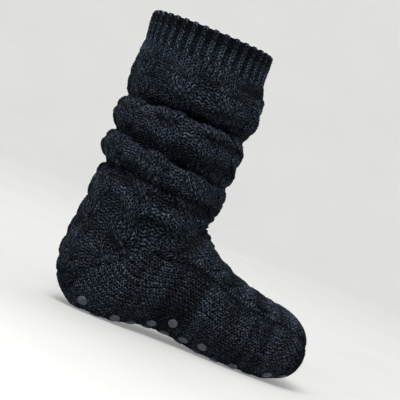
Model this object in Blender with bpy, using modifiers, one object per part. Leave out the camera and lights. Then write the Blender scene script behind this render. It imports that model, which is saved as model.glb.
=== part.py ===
"""Slipper sock: one knitted shell with a ribbed cuff, a slouched leg, a turned heel, a cabled
instep and a plain sole, and moulded grip dots under the sole. Metres, +Z up, toe towards +X."""

import math

import bmesh
import bpy
from mathutils import Matrix, Vector
from mathutils.bvhtree import BVHTree

# Driving dimensions, all measured on the outside of the knit.
FOOT_LENGTH = 0.240  # heel back to toe tip
BALL_WIDTH = 0.090
HEEL_WIDTH = 0.074
INSTEP_HEIGHT = 0.108  # floor to the bend at the front of the ankle
ANKLE_DEPTH = 0.112  # heel back to the bend at the front of the ankle
LEG_DEPTH = 0.116  # front to back of the leg, as it is worn
LEG_WIDTH = 0.104  # side to side of the leg
LEG_SETBACK = 0.005  # from the heel's back to the leg's back at the ankle
LEG_LEAN = math.radians(2.5)  # the leg leans back by this much
SOCK_HEIGHT = 0.266  # floor to the edge of the cuff
CUFF_HEIGHT = 0.027  # ribbed band
KNIT_WALL = 0.0036  # thickness of the knit with its lining
CABLE_RELIEF = 0.0030  # how far a cable stands out from the purl gutter beside it
RIB_STEP = 0.0015  # how far the ribbed band lies inside the leg below it
RIB_TURN = 0.0012  # height over which the wall steps in to the band

DOT_DIAMETER = 0.0090
DOT_TOP_DIAMETER = 0.0070
DOT_HEIGHT = 0.0012
DOT_PITCH = 0.0160  # between neighbours across the foot
DOT_CLEARANCE = 0.0003  # between a dot and the knit
DOT_SIDES = 12
DOT_ROWS = (4, 3, 4, 3, 4, 5, 4, 5, 4, 5, 4, 5, 4)  # dots in each row, from the heel
DOT_FIRST_ROW = 0.132  # shares of FOOT_LENGTH, from the heel back
DOT_LAST_ROW = 0.935

WALES = 72  # columns of stitches round the leg
CABLES = 8  # ropes round the leg
POINTS_ROUND = 40  # points of each section, five for each rope
FOOT_STATION_STEP = 0.0150  # along the sole and up the heel, about
LEG_STATION_STEP = 0.0043  # up the leg, about
BAND_STATIONS = 3

SOLE_LEVEL = DOT_HEIGHT + DOT_CLEARANCE  # the knit stands this high on its dots
LEG_RISE = SOCK_HEIGHT - CUFF_HEIGHT - INSTEP_HEIGHT  # ankle bend to the band

KNIT_COLOUR = (0.012, 0.015, 0.020, 1.0)
DOT_COLOUR = (0.17, 0.18, 0.19, 1.0)

# Sections of the foot, from the toe to the ankle. A section lies between a point on the instep
# line (over) and a point on the sole and heel line (under).
#   over_x   share of the way from the ankle bend to the toe tip
#   under_x  share of FOOT_LENGTH, from the heel back
#   *_z      shares of INSTEP_HEIGHT
#   ball, heel  half the width is these shares of half BALL_WIDTH and half HEEL_WIDTH, added up
#   waist    share of the section's height at which it is widest
#   top, sole   squareness of the upper and the lower half, 2 is an ellipse
#   border   degrees from the instep line to the edge between cabled and plain knit
#   cables   how much of the cable relief shows on the instep half and on the other half
FOOT_COLUMNS = (
    "name", "over_x", "over_z", "under_x", "under_z", "ball", "heel",
    "waist", "top", "sole", "border", "cable_over", "cable_under",
)
FOOT_SECTIONS = (
    ("toe_tip", 0.996, 0.345, 0.9985, 0.225, 0.25, 0.0, 0.50, 2.0, 2.0, 64, 0.0, 0.0),
    ("toe_end", 0.975, 0.440, 0.9890, 0.135, 0.52, 0.0, 0.48, 2.1, 2.1, 64, 0.0, 0.0),
    ("toe_round", 0.925, 0.520, 0.9640, 0.065, 0.73, 0.0, 0.46, 2.2, 2.3, 64, 0.2, 0.0),
    ("toe_box", 0.845, 0.575, 0.9220, 0.022, 0.87, 0.0, 0.44, 2.2, 2.4, 64, 0.5, 0.0),
    ("toe_root", 0.725, 0.610, 0.8580, -0.018, 0.95, 0.0, 0.43, 2.2, 2.6, 64, 0.8, 0.0),
    ("ball", 0.560, 0.648, 0.7700, -0.034, 1.00, 0.0, 0.42, 2.2, 2.7, 65, 0.9, 0.0),
    ("tread", 0.400, 0.700, 0.6700, -0.028, 0.98, 0.0, 0.41, 2.1, 2.6, 66, 1.0, 0.0),
    ("waist", 0.260, 0.770, 0.5700, 0.008, 0.91, 0.0, 0.41, 2.1, 2.4, 67, 1.0, 0.0),
    ("arch", 0.140, 0.855, 0.4600, 0.046, 0.50, 0.43, 0.41, 2.1, 2.3, 68, 1.0, 0.0),
    ("shank", 0.060, 0.925, 0.3550, 0.036, 0.18, 0.79, 0.42, 2.1, 2.4, 70, 1.0, 0.0),
    ("heel_front", 0.022, 0.965, 0.2550, -0.026, 0.04, 0.96, 0.43, 2.1, 2.5, 72, 1.0, 0.0),
    ("heel_under", 0.006, 0.985, 0.1550, -0.036, 0.0, 1.00, 0.44, 2.1, 2.5, 75, 1.0, 0.0),
    ("heel_corner", 0.000, 1.000, 0.0680, 0.060, 0.0, 1.00, 0.45, 2.1, 2.4, 78, 1.0, 0.0),
    ("heel_low", -0.003, 1.012, 0.0220, 0.195, 0.0, 1.01, 0.46, 2.1, 2.3, 81, 1.0, 0.0),
    ("heel_back", -0.006, 1.024, 0.0000, 0.390, 0.0, 1.05, 0.48, 2.1, 2.2, 84, 1.0, 0.0),
    ("heel_top", -0.010, 1.034, 0.0045, 0.610, 0.0, 1.12, 0.49, 2.1, 2.1, 87, 1.0, 0.15),
    ("achilles", -0.014, 1.044, 0.0170, 0.840, 0.0, 1.20, 0.50, 2.1, 2.0, 89, 1.0, 0.6),
)

# Sections of the leg, from the ankle to the ribbed band.
#   front, back  heights there, shares of LEG_RISE above the ankle bend
#   skew    how much higher one side lies than the other, share of LEG_WIDTH
#   depth, width  shares of LEG_DEPTH and LEG_WIDTH
LEG_COLUMNS = ("name", "front", "back", "skew", "depth", "width")
LEG_SECTIONS = (
    ("ankle_crease", 0.055, 0.150, 0.00, 0.985, 0.890),
    ("low_roll", 0.150, 0.265, 0.02, 1.000, 0.925),
    ("middle_crease", 0.250, 0.380, 0.05, 1.000, 0.945),
    ("middle_roll", 0.425, 0.500, -0.02, 1.000, 0.965),
    ("upper_crease", 0.600, 0.615, -0.04, 0.990, 0.970),
    ("leg_top", 0.810, 0.812, 0.00, 1.010, 1.000),
    ("band_start", 1.000, 1.000, 0.00, 0.980, 0.980),
)
BAND_FLARE = 0.015  # the band's edge is wider than its start by this share

# Slouch folds of the leg, each on the line of the section of its name.
#   out     how far the knit moves outwards at the fold, share of LEG_DEPTH
#   spread  half the height of the fold, share of LEG_RISE
#   pinch   how far the knit beside it is drawn towards it, share of the spread
#   front, side, behind  how strongly it shows there
FOLD_COLUMNS = ("name", "out", "spread", "pinch", "front", "side", "behind")
SLOUCH_FOLDS = (
    ("ankle_crease", -0.056, 0.048, 0.50, 0.90, 0.45, 0.90),
    ("low_roll", 0.024, 0.066, 0.00, 1.00, 0.70, 0.80),
    ("middle_crease", -0.066, 0.044, 0.62, 0.70, 1.10, 0.80),
    ("middle_roll", 0.022, 0.080, 0.00, 0.60, 0.80, 1.00),
    ("upper_crease", -0.056, 0.044, 0.60, 0.75, 1.05, 0.65),
    ("leg_top", 0.010, 0.110, 0.00, 1.00, 1.00, 0.80),
)


def rows_of(columns, table):
    """The table's rows as dictionaries."""
    return [dict(zip(columns, row)) for row in table]


def leg_axis(height):
    """Centre of the leg at a height above the ankle bend."""
    return LEG_SETBACK + LEG_DEPTH / 2 - math.tan(LEG_LEAN) * height


def foot_section(row):
    """A row of the foot's table as lengths."""
    ahead = FOOT_LENGTH - ANKLE_DEPTH
    return {
        "over": (ANKLE_DEPTH + row["over_x"] * ahead, row["over_z"] * INSTEP_HEIGHT),
        "under": (row["under_x"] * FOOT_LENGTH, row["under_z"] * INSTEP_HEIGHT + SOLE_LEVEL),
        "half_width": (row["ball"] * BALL_WIDTH + row["heel"] * HEEL_WIDTH) / 2,
        "waist": row["waist"],
        "top": row["top"],
        "sole": row["sole"],
        "border": row["border"],
        "cable_over": row["cable_over"],
        "cable_under": row["cable_under"],
        "skew": 0.0,
        "inset": 0.0,
    }


def leg_section(front, back, skew, depth, width, cables=1.0, inset=0.0):
    """A section of the leg as lengths, from heights above the ankle bend."""
    half = depth * LEG_DEPTH / 2
    return {
        "over": (leg_axis(front) + half, INSTEP_HEIGHT + front),
        "under": (leg_axis(back) - half, INSTEP_HEIGHT + back),
        "half_width": width * LEG_WIDTH / 2,
        "waist": 0.5,
        "top": 2.05,
        "sole": 2.05,
        "border": 90.0,
        "cable_over": cables,
        "cable_under": cables,
        "skew": skew * LEG_WIDTH,
        "inset": inset,
    }


def catmull(a, b, c, d, t):
    """A smooth value between b and c, with a and d as their neighbours."""
    if isinstance(b, tuple):
        return tuple(catmull(*four, t) for four in zip(a, b, c, d))
    pull = (c - a) * t + (2 * a - 5 * b + 4 * c - d) * t * t + (3 * b - a - 3 * c + d) * t**3
    return b + pull / 2


def between(sections, place):
    """The section at a fractional place in a list of sections."""
    i = min(int(place), len(sections) - 2)
    near = [sections[min(max(i + k, 0), len(sections) - 1)] for k in (-1, 0, 1, 2)]
    return {key: catmull(*(s[key] for s in near), place - i) for key in sections[0]}


def leg_key(row):
    """The section of a row of the leg's table."""
    front, back = row["front"] * LEG_RISE, row["back"] * LEG_RISE
    return leg_section(front, back, row["skew"], row["depth"], row["width"])


def band_stations():
    """Sections of the ribbed band, which steps in from the leg below it."""
    start = rows_of(LEG_COLUMNS, LEG_SECTIONS)[-1]
    made = []
    for k in range(BAND_STATIONS + 1):
        share = k / BAND_STATIONS
        height = LEG_RISE + RIB_TURN + share * (CUFF_HEIGHT - RIB_TURN)
        wider = 1 + BAND_FLARE * share
        size = (start["depth"] * wider, start["width"] * wider)
        made.append(leg_section(height, height, 0.0, *size, cables=0.0, inset=RIB_STEP))
    return made


def stations():
    """Every section of the loft, from the toe tip to the cuff edge."""
    foot_rows = rows_of(FOOT_COLUMNS, FOOT_SECTIONS)
    leg_rows = rows_of(LEG_COLUMNS, LEG_SECTIONS)
    keys = [foot_section(row) for row in foot_rows] + [leg_key(row) for row in leg_rows]
    places = []
    for i in range(len(foot_rows)):
        gap = math.dist(keys[i]["under"], keys[i + 1]["under"])
        steps = max(round(gap / FOOT_STATION_STEP), 1)
        places += [i + k / steps for k in range(steps)]
    heights = [(row["front"] + row["back"]) / 2 for row in leg_rows]
    steps = round((heights[-1] - heights[0]) * LEG_RISE / LEG_STATION_STEP)
    for k in range(steps + 1):
        height = heights[0] + (heights[-1] - heights[0]) * k / steps
        i = max(j for j in range(len(heights) - 1) if heights[j] <= height + 1e-9)
        share = (height - heights[i]) / (heights[i + 1] - heights[i])
        places.append(len(foot_rows) + i + share)
    return [between(keys, place) for place in places] + band_stations()


def wale_angle(wale, border):
    """Angle from the instep line at which a wale lies. Half of the wales lie within the border."""
    quarter = WALES / 4
    side = math.copysign(1.0, wale)
    if abs(wale) <= quarter:
        degrees = abs(wale) / quarter * border
    else:
        degrees = border + (abs(wale) - quarter) / quarter * (180 - border)
    return side * math.radians(degrees)


def squared(value, power):
    """Sine or cosine of a superellipse."""
    return math.copysign(abs(value) ** (2 / power), value)


def cable_height(wale, section):
    """How far the cables and their gutters move the knit, from the middle of the relief."""
    half = "cable_over" if abs(wale) <= WALES / 4 else "cable_under"
    wave = math.cos(2 * math.pi * (wale / WALES * CABLES - 0.5))
    return section[half] * CABLE_RELIEF / 2 * wave


def fold_shift(height, angle):
    """Outward and upward moves that the slouch folds give a point of the knit."""
    front, behind = max(math.cos(angle), 0.0) ** 2, max(-math.cos(angle), 0.0) ** 2
    side = math.sin(angle) ** 2
    lines = {row["name"]: row for row in rows_of(LEG_COLUMNS, LEG_SECTIONS)}
    out = rise = 0.0
    for fold in rows_of(FOLD_COLUMNS, SLOUCH_FOLDS):
        line = lines[fold["name"]]
        ahead = (1 + math.cos(angle)) / 2
        level = (line["front"] * ahead + line["back"] * (1 - ahead)) * LEG_RISE
        level += line["skew"] * LEG_WIDTH * math.sin(angle) / 2
        spread = fold["spread"] * LEG_RISE
        away = (height - INSTEP_HEIGHT - level) / spread
        strength = fold["front"] * front + fold["side"] * side + fold["behind"] * behind
        fade = strength * math.exp(-away * away)
        out += fold["out"] * LEG_DEPTH * fade
        rise -= fold["pinch"] * spread * away * fade
    return out, rise


def knit_point(section, wale):
    """A point of the knit's outer surface."""
    angle = wale_angle(wale, section["border"])
    over = Vector((section["over"][0], 0, section["over"][1]))
    under = Vector((section["under"][0], 0, section["under"][1]))
    height = (over - under).length
    ahead = (over - under).normalized()
    upwards = ahead.cross(Vector((0, 1, 0)))
    middle = under + ahead * height * section["waist"]
    lower_half = math.cos(angle) < 0
    reach = height * (section["waist"] if lower_half else 1 - section["waist"])
    power = section["sole"] if lower_half else section["top"]
    spoke = ahead * squared(math.cos(angle), power) * reach
    spoke.y = squared(math.sin(angle), power) * section["half_width"]
    point = middle + spoke
    point.z += section["skew"] * math.sin(angle) / 2
    out, rise = fold_shift(point.z, angle)
    out += cable_height(wale, section) - section["inset"]
    point += spoke.normalized() * out + upwards * rise
    point.z = max(point.z, SOLE_LEVEL)
    return point


def material(name, colour, roughness):
    made = bpy.data.materials.new(name)
    made.use_nodes = True
    shader = made.node_tree.nodes["Principled BSDF"]
    shader.inputs["Base Color"].default_value = colour
    shader.inputs["Roughness"].default_value = roughness
    shader.inputs["Metallic"].default_value = 0.0
    return made


def new_object(name, bm, collection, look):
    """A named object from a bmesh, which it frees."""
    mesh = bpy.data.meshes.new(name)
    bm.normal_update()
    bm.to_mesh(mesh)
    bm.free()
    mesh.materials.append(look)
    mesh.shade_smooth()
    obj = bpy.data.objects.new(name, mesh)
    collection.objects.link(obj)
    return obj


def knitted_shell(collection, look):
    """The whole knit: a loft that is closed at the toe, open at the cuff, and thickened inwards."""
    bm = bmesh.new()
    wales = [WALES * (k / POINTS_ROUND - 0.5) for k in range(POINTS_ROUND)]
    rings = [[bm.verts.new(knit_point(s, w)) for w in wales] for s in stations()]
    for lower, upper in zip(rings, rings[1:]):
        for k in range(POINTS_ROUND):
            n = (k + 1) % POINTS_ROUND
            bm.faces.new((lower[k], lower[n], upper[n], upper[k]))
    tip = sum((v.co for v in rings[0]), Vector()) / POINTS_ROUND
    tip.x = FOOT_LENGTH
    centre = bm.verts.new(tip)
    for k in range(POINTS_ROUND):
        bm.faces.new((rings[0][(k + 1) % POINTS_ROUND], rings[0][k], centre))
    bmesh.ops.recalc_face_normals(bm, faces=bm.faces)
    shell = new_object("knitted_sock", bm, collection, look)
    wall = shell.modifiers.new("wall", "SOLIDIFY")
    wall.thickness = KNIT_WALL
    wall.offset = -1.0
    wall.use_even_offset = False
    return shell


def dot_places():
    """Staggered places for grip dots: the name, x and y of each."""
    step = (DOT_LAST_ROW - DOT_FIRST_ROW) / (len(DOT_ROWS) - 1)
    for row, count in enumerate(DOT_ROWS):
        x = (DOT_FIRST_ROW + row * step) * FOOT_LENGTH
        for k in range(count):
            yield f"grip_dot_{row + 1:02d}_{'abcde'[k]}", x, (k - (count - 1) / 2) * DOT_PITCH


def frame_at(centre, facing):
    """A frame at a point whose Z axis is the way that the knit faces."""
    return Matrix.Translation(centre) @ facing.to_track_quat("Z", "X").to_matrix().to_4x4()


def dot_seat(tree, x, y):
    """The frame of a dot on the sole, straight above a point of the floor."""
    centre, facing, _, _ = tree.ray_cast(Vector((x, y, -FOOT_LENGTH)), Vector((0, 0, 1)))
    frame = frame_at(centre, facing)
    hits = [(centre, facing)]
    for radius in (DOT_DIAMETER / 2, DOT_DIAMETER / 4):
        for k in range(DOT_SIDES):
            t = 2 * math.pi * k / DOT_SIDES
            at = frame @ Vector((radius * math.cos(t), radius * math.sin(t), 0))
            hits.append(tree.find_nearest(at)[:2])
    facing = sum((normal for _, normal in hits), Vector()).normalized()
    level = max((knit - centre).dot(facing) for knit, _ in hits)
    return frame_at(centre + facing * (level + DOT_CLEARANCE), facing)


def grip_dot(name, frame, collection, look):
    """One dot: a low frustum, flat against the knit above it and flat where it meets the floor."""
    bm = bmesh.new()
    bmesh.ops.create_cone(
        bm,
        cap_ends=True,
        segments=DOT_SIDES,
        radius1=DOT_DIAMETER / 2,
        radius2=DOT_TOP_DIAMETER / 2,
        depth=DOT_HEIGHT,
        matrix=frame @ Matrix.Translation((0, 0, DOT_HEIGHT / 2)),
    )
    for vert in bm.verts:
        vert.co.z = max(vert.co.z, 0.0)
    return new_object(name, bm, collection, look)


def grip_dots(shell, collection, look):
    """All the dots, each seated on the knit and lettered across its row."""
    tree = BVHTree.FromObject(shell, bpy.context.evaluated_depsgraph_get())
    return [grip_dot(name, dot_seat(tree, x, y), collection, look) for name, x, y in dot_places()]


def centre_on_box(objects):
    """Moves everything so that the origin is the middle of the bottom of the bounding box."""
    graph = bpy.context.evaluated_depsgraph_get()
    corners = []
    for obj in objects:
        seen = obj.evaluated_get(graph).to_mesh()
        corners += [v.co.copy() for v in seen.vertices]
    low = Vector([min(c[i] for c in corners) for i in range(3)])
    high = Vector([max(c[i] for c in corners) for i in range(3)])
    shift = Vector((-(low.x + high.x) / 2, -(low.y + high.y) / 2, -low.z))
    for obj in objects:
        obj.data.transform(Matrix.Translation(shift))
    print("moved by", [round(s * 1000, 2) for s in shift])
    print("box", [round(s * 1000, 1) for s in high - low])


def main():
    for obj in list(bpy.data.objects):
        bpy.data.objects.remove(obj)
    collection = bpy.data.collections.new("slipper_sock")
    bpy.context.scene.collection.children.link(collection)
    yarn = material("heather_yarn", KNIT_COLOUR, 0.9)
    silicone = material("grip_silicone", DOT_COLOUR, 0.35)
    shell = knitted_shell(collection, yarn)
    dots = grip_dots(shell, collection, silicone)
    centre_on_box([shell] + dots)
    print(len(dots), "grip dots")


main()
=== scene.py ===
# %% [markdown]
# # A slipper sock in marl yarn
#
# The solid model of the sock is a smooth hollow shell on rows of small dots. This lesson dresses it.
# The yarn surface is built as real relief, stitch by stitch, on the same sections as the shell, and
# the dots become domed silicone.

# %% Load the solid model
import math

import bpy
import numpy as np
from mathutils import Matrix, Vector


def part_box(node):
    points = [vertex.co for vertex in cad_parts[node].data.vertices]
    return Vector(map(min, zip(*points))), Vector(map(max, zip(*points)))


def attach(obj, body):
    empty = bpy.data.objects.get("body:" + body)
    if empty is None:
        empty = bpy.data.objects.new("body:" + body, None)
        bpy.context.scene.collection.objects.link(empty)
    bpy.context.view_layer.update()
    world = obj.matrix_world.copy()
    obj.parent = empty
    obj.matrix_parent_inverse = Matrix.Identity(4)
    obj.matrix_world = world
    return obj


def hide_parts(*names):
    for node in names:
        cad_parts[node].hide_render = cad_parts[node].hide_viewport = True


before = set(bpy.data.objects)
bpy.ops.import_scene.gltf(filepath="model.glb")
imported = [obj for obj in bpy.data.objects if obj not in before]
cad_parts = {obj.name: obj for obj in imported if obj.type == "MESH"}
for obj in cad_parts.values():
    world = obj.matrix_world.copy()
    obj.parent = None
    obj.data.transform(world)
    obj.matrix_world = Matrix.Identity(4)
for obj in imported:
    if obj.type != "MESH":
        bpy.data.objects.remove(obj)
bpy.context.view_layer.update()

# %% [markdown]
# ## The sizes of the sock
#
# A knitter measures a sock by its foot, its leg and its gauge. The foot, the leg's width and the
# height come from the solid model. The others are the real sizes that the solid was built from.

# %% Sizes from the frame, and the knitter's gauge
MM = 0.001
SOCK_LOW, SOCK_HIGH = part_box("knitted_sock")
HEEL_X = SOCK_LOW.x
FOOT_LENGTH = SOCK_HIGH.x - SOCK_LOW.x
LEG_WIDTH = SOCK_HIGH.y - SOCK_LOW.y
SOCK_HEIGHT = SOCK_HIGH.z
SOLE_LEVEL = SOCK_LOW.z
BALL_WIDTH = 90 * MM
HEEL_WIDTH = 74 * MM
INSTEP_HEIGHT = 108 * MM
ANKLE_DEPTH = 112 * MM
LEG_DEPTH = 116 * MM
LEG_SETBACK = 5 * MM
LEG_LEAN = math.radians(2.5)
CUFF_HEIGHT = 27 * MM
LEG_RISE = SOCK_HEIGHT - CUFF_HEIGHT - INSTEP_HEIGHT
KNIT_WALL = 3.6 * MM
RIB_STEP = 1.5 * MM  # the ribbed cuff draws in by this much
BAND_FLARE = 0.015  # and widens again by this share towards its edge

WALES = 72  # columns of stitches round the sock
QUARTER = WALES / 4
COURSE = 2.9 * MM  # height of one row of stitches
ROPE_REPEAT = 9  # wales from one cable to the next: six in the cable and three in the gutter
CROSSING = 7  # courses from one crossing of a cable to the next

COLUMNS = 6  # mesh columns for each wale
ROW_STEP = 0.62 * MM  # mesh rows, where the surface is longest
print("wale on the leg, mm:", round(math.pi * (LEG_DEPTH + LEG_WIDTH) / 2 / WALES / MM, 2))

# %% [markdown]
# ## The sections
#
# A sock on a foot is a bent tube. Its sections stand across the foot at the toe, fan round the heel,
# and lie level up the leg. Each has a point on the instep line (over) and one on the sole and heel
# line (under). The lengths are shares of the sizes above, so the tables follow the sock's size.

# %% Sections of the foot, from the toe to the ankle
# over_x is a share of the way from the ankle to the toe, under_x of the foot's length, and the
# heights of the instep's. Half the width is ball and heel times half those widths, added up.
# waist is where a section is widest, top and sole how square its halves are, and border how many
# degrees the cabled knit reaches down from the instep line.
FOOT_SECTIONS = (
    # name, over_x, over_z, under_x, under_z, ball, heel, waist, top, sole, border
    ("toe_tip", 0.996, 0.345, 0.9985, 0.225, 0.25, 0.0, 0.50, 2.0, 2.0, 54),
    ("toe_end", 0.975, 0.440, 0.9890, 0.135, 0.52, 0.0, 0.48, 2.1, 2.1, 53),
    ("toe_round", 0.925, 0.520, 0.9640, 0.065, 0.73, 0.0, 0.46, 2.2, 2.3, 52),
    ("toe_box", 0.845, 0.575, 0.9220, 0.022, 0.87, 0.0, 0.44, 2.2, 2.4, 52),
    ("toe_root", 0.725, 0.610, 0.8580, -0.018, 0.95, 0.0, 0.43, 2.2, 2.6, 52),
    ("ball", 0.560, 0.648, 0.7700, -0.034, 1.00, 0.0, 0.42, 2.2, 2.7, 53),
    ("tread", 0.400, 0.700, 0.6700, -0.028, 0.98, 0.0, 0.41, 2.1, 2.6, 54),
    ("waist", 0.260, 0.770, 0.5700, 0.008, 0.91, 0.0, 0.41, 2.1, 2.4, 55),
    ("arch", 0.140, 0.855, 0.4600, 0.046, 0.50, 0.43, 0.41, 2.1, 2.3, 57),
    ("shank", 0.060, 0.925, 0.3550, 0.036, 0.18, 0.79, 0.42, 2.1, 2.4, 60),
    ("heel_front", 0.022, 0.965, 0.2550, -0.026, 0.04, 0.96, 0.43, 2.1, 2.5, 64),
    ("heel_under", 0.018, 0.985, 0.1550, -0.036, 0.0, 1.00, 0.44, 2.1, 2.5, 68),
    ("heel_corner", 0.017, 1.000, 0.0680, 0.060, 0.0, 1.00, 0.45, 2.1, 2.4, 73),
    ("heel_low", 0.016, 1.012, 0.0220, 0.195, 0.0, 1.01, 0.46, 2.1, 2.3, 78),
    ("heel_back", 0.016, 1.024, 0.0000, 0.390, 0.0, 1.05, 0.48, 2.1, 2.2, 82),
    ("heel_top", 0.017, 1.034, 0.0045, 0.610, 0.0, 1.12, 0.49, 2.1, 2.1, 86),
    ("achilles", 0.020, 1.044, 0.0170, 0.840, 0.0, 1.20, 0.50, 2.1, 2.0, 89),
)

# %% Sections of the leg, from the ankle to the ribbed cuff
# front and back are heights there, as shares of the leg's rise above the ankle bend. skew is how
# much higher one side lies than the other, and depth and width are shares of the leg's own.
LEG_SECTIONS = (
    # name, front, back, skew, depth, width
    ("ankle_crease", 0.105, 0.150, 0.00, 0.975, 0.890),
    ("low_roll", 0.190, 0.265, 0.02, 0.995, 0.925),
    ("middle_crease", 0.270, 0.380, 0.05, 1.000, 0.945),
    ("middle_roll", 0.425, 0.500, -0.02, 1.000, 0.965),
    ("upper_crease", 0.600, 0.615, -0.04, 0.990, 0.970),
    ("leg_top", 0.810, 0.812, 0.00, 1.010, 1.000),
    ("band_start", 1.000, 1.000, 0.00, 0.980, 0.980),
)

LEG_SQUARENESS = 2.05  # of the leg's sections, where 2 is an ellipse
FIELDS = ("over_x", "over_z", "under_x", "under_z", "half", "waist", "top", "sole", "border", "skew")


def leg_axis(height):
    """Centre of the leg at a height above the ankle bend."""
    return LEG_SETBACK + LEG_DEPTH / 2 - math.tan(LEG_LEAN) * height


def foot_lengths(name, over_x, over_z, under_x, under_z, ball, heel, waist, top, sole, border):
    """A row of the foot's table as lengths, in the order of FIELDS."""
    over = (ANKLE_DEPTH + over_x * (FOOT_LENGTH - ANKLE_DEPTH), over_z * INSTEP_HEIGHT)
    under = (under_x * FOOT_LENGTH, under_z * INSTEP_HEIGHT + SOLE_LEVEL)
    half = (ball * BALL_WIDTH + heel * HEEL_WIDTH) / 2
    return (*over, *under, half, waist, top, sole, border, 0.0)


def leg_lengths(name, front, back, skew, depth, width):
    """A row of the leg's table as lengths, in the order of FIELDS."""
    front, back, reach = front * LEG_RISE, back * LEG_RISE, depth * LEG_DEPTH / 2
    over = (leg_axis(front) + reach, INSTEP_HEIGHT + front)
    under = (leg_axis(back) - reach, INSTEP_HEIGHT + back)
    shape = (0.5, LEG_SQUARENESS, LEG_SQUARENESS, 90.0)  # waist, top, sole and border
    return (*over, *under, width * LEG_WIDTH / 2, *shape, skew * LEG_WIDTH)


foot_rows = [foot_lengths(*row) for row in FOOT_SECTIONS]
SECTIONS = np.array(foot_rows + [leg_lengths(*row) for row in LEG_SECTIONS])
PLACES = {row[0]: place for place, row in enumerate(FOOT_SECTIONS + LEG_SECTIONS)}
TIP = -1.0  # the place where the toe closes
BAND = float(PLACES["band_start"])  # the ribbed cuff runs from here to BAND + 1
MITRE = float(PLACES["heel_low"])  # where the turned heel meets the leg's knit
TOE_ROOT = float(PLACES["toe_root"])
ANKLE = float(PLACES["ankle_crease"])
print(len(SECTIONS), "sections: the toe starts at", TOE_ROOT, "and the cuff at", BAND)

# %% [markdown]
# ## Slouch folds
#
# The leg is longer than the ankle it stands on, so it sinks into rolls with sharp creases between
# them. Each fold is a soft trough or ridge on a tilted line round the leg. The knit on both sides of
# a crease is drawn in, and the roll below swells up against it, which makes a crease look deep.

# %% Folds and smaller puckers
# out is a share of the leg's depth, spread of its rise, and pinch and swell of the spread. A fold
# with a lean is wide above its line and steep below it. pinch draws both sides in, swell lifts the
# roll below, and front, side and behind tell how strongly the fold shows there.
SLOUCH_FOLDS = (
    # section, out, spread, lean, pinch, swell, front, side, behind
    ("ankle_crease", -0.056, 0.050, 0.25, 0.40, 0.25, 0.15, 0.65, 0.70),
    ("low_roll", 0.022, 0.070, 0.00, 0.00, 0.00, 0.00, 0.80, 1.10),
    ("middle_crease", -0.098, 0.052, 0.40, 0.28, 0.40, 0.28, 1.10, 0.48),
    ("middle_roll", 0.022, 0.080, 0.00, 0.00, 0.00, 0.10, 0.80, 1.30),
    ("upper_crease", -0.098, 0.052, 0.42, 0.28, 0.40, 0.28, 1.10, 0.42),
    ("leg_top", 0.010, 0.120, 0.00, 0.00, 0.00, 2.20, 1.00, -1.50),
)
# Puckers: around is in degrees from the front, minus on the right side of the sock; level is a
# share of the rise; long is half a pucker's length in degrees, high half its height, both soft;
# climb is how far it rises over ninety degrees towards the front; deep is inwards, minus outwards.
PUCKERS = (
    # around, level, long, high (mm), climb (mm), deep (mm)
    (-91, 0.632, 9, 3.6, 0, 3.4),
    (-103, 0.600, 4, 5.0, 0, -3.4),
    (-52, 0.590, 20, 5.0, 3, -4.2),
    (-140, 0.590, 24, 3.4, 2, 1.6),
    (-38, 0.640, 16, 2.6, -4, 2.2),
    (-58, 0.545, 7, 3.4, 0, 2.6),
    (-140, 0.345, 18, 4.5, 0, -3.0),
    (-112, 0.262, 26, 3.2, -8, 2.6),
    (-76, 0.330, 17, 3.0, -6, 1.6),
    (-150, 0.170, 22, 3.0, -3, 1.8),
    (-98, 0.120, 18, 3.2, -7, 2.0),
    (-52, 0.035, 20, 3.4, -4, 2.2),
    (-28, 0.130, 22, 4.0, 3, 1.2),
    (-64, 0.480, 14, 4.5, 5, 1.0),
    (-120, 0.740, 20, 5.0, 4, 0.9),
    (-40, 0.790, 24, 5.0, -5, 0.8),
    (88, 0.560, 20, 3.4, 5, 2.2),
    (140, 0.640, 22, 3.2, -4, 1.6),
    (46, 0.600, 22, 3.0, 3, 1.6),
    (104, 0.300, 24, 3.4, -6, 2.4),
    (60, 0.220, 18, 3.2, 6, 1.6),
    (150, 0.180, 20, 3.0, 4, 1.8),
    (92, 0.090, 18, 3.4, -5, 2.0),
    (48, 0.020, 20, 3.4, -3, 2.0),
    (172, 0.470, 16, 4.5, 0, 1.1),
    (8, 0.400, 20, 4.0, 4, 1.3),
)
SWELL_SPREAD = 0.75  # height of a swelling roll, as a share of its fold's spread
PILLOW = 0.5 * MM  # how much more the cables swell between two creases


def soft(away):
    """One at zero, fading smoothly to nothing at about two."""
    return np.exp(-away * away)


def folds(height, angle):
    """Outward and upward moves of the knit, at heights above the floor and angles round the leg."""
    above = (height - INSTEP_HEIGHT) / LEG_RISE
    ahead = (1 + np.cos(angle)) / 2
    front, behind = np.maximum(np.cos(angle), 0) ** 2, np.maximum(-np.cos(angle), 0) ** 2
    lines = {row[0]: row for row in LEG_SECTIONS}
    out, rise = np.zeros_like(above), np.zeros_like(above)
    for name, depth, spread, lean, pinch, swell, *show in SLOUCH_FOLDS:
        line = lines[name]
        level = line[1] * ahead + line[2] * (1 - ahead)
        level = level + line[3] * LEG_WIDTH / LEG_RISE * np.sin(angle) / 2
        away = (above - level) / spread
        away = away / np.where(away > 0, 1 + lean, 1 - lean)
        strength = show[0] * front + show[1] * np.sin(angle) ** 2 + show[2] * behind
        out += depth * LEG_DEPTH * strength * soft(away)
        rise -= pinch * spread * LEG_RISE * away * strength * soft(away)
        rise += swell * spread * LEG_RISE * strength * soft((away + 1) / SWELL_SPREAD)
    for around, level, long, high, climb, deep in PUCKERS:
        turn = (np.degrees(angle) - around + 180) % 360 - 180
        towards_front = np.where(around < 0, turn, -turn) / 90
        away = ((above - level) * LEG_RISE - climb * MM * towards_front) / (high * MM)
        out -= deep * MM * soft(away) * soft(turn / long)
    return out, rise


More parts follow.
